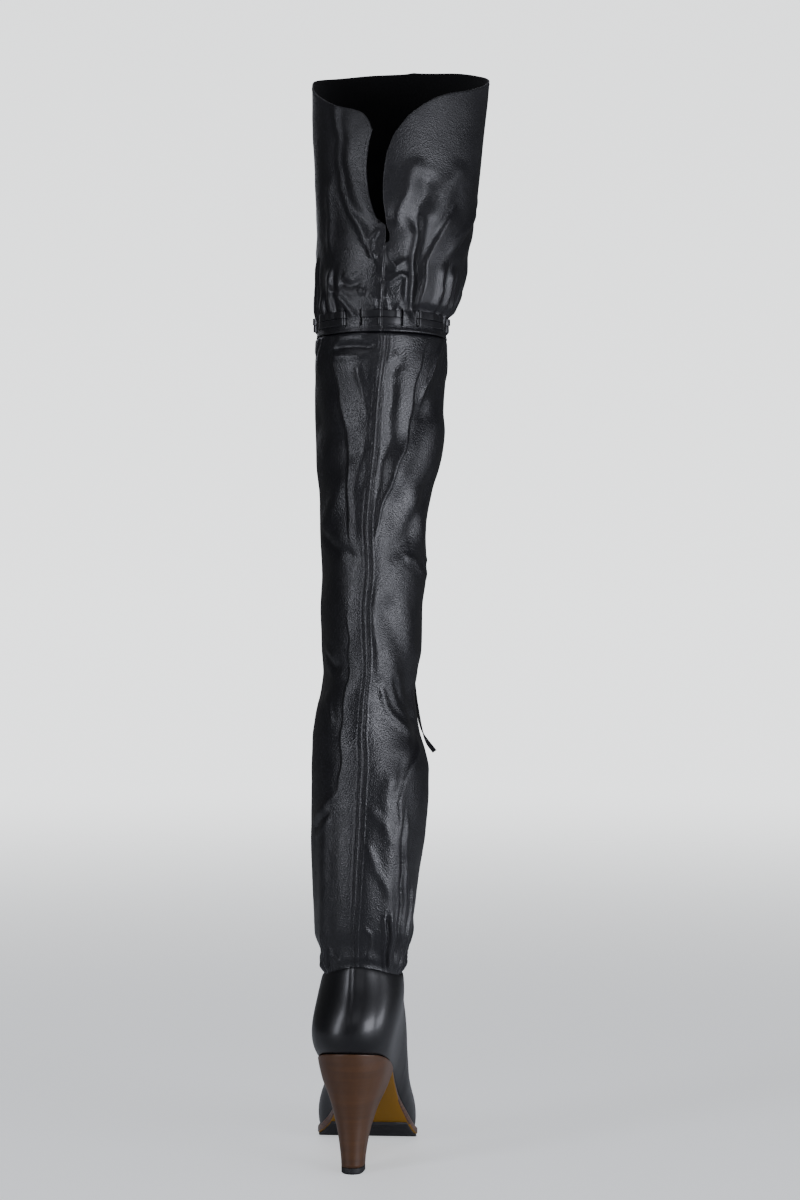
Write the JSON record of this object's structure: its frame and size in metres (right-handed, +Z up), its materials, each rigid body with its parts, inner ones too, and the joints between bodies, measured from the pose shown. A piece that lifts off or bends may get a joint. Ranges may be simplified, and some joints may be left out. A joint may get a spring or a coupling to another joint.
{
  "type": "thigh high boot",
  "caption": "Tall black leather boot for the right foot with a soft slouched shaft, a flared laced cuff slit behind, and a stacked high heel.",
  "frame": {"origin": "middle of the heel's top piece, on the floor", "axes": "+Z up the leg, +Y towards the toe, +X towards the outer side of the right foot"},
  "size_m": [0.1503, 0.2334, 0.9085],
  "materials": {
    "glossy_calf": "smooth black calf, glossy",
    "soft_leather": "thin soft black leather, low sheen, creased",
    "lace_leather": "flat black leather lace, satin",
    "stacked_leather": "brown stacked layers, varnished",
    "waist_leather": "gold toned sole leather, brown edge",
    "tread_rubber": "matt black rubber",
    "insole_suede": "black suede"
  },
  "bodies": {
    "root": {"upper": "glossy_calf", "shaft": "soft_leather", "cuff": "soft_leather", "insole": "insole_suede", "outsole": "waist_leather", "half_sole": "tread_rubber", "heel": "stacked_leather", "heel_top_piece": "tread_rubber", "lace_lower_strand": "lace_leather", "lace_upper_strand": "lace_leather", "lace_knot": "lace_leather", "lace_end_lateral": "lace_leather", "lace_end_medial": "lace_leather"}
  },
  "joints": []
}
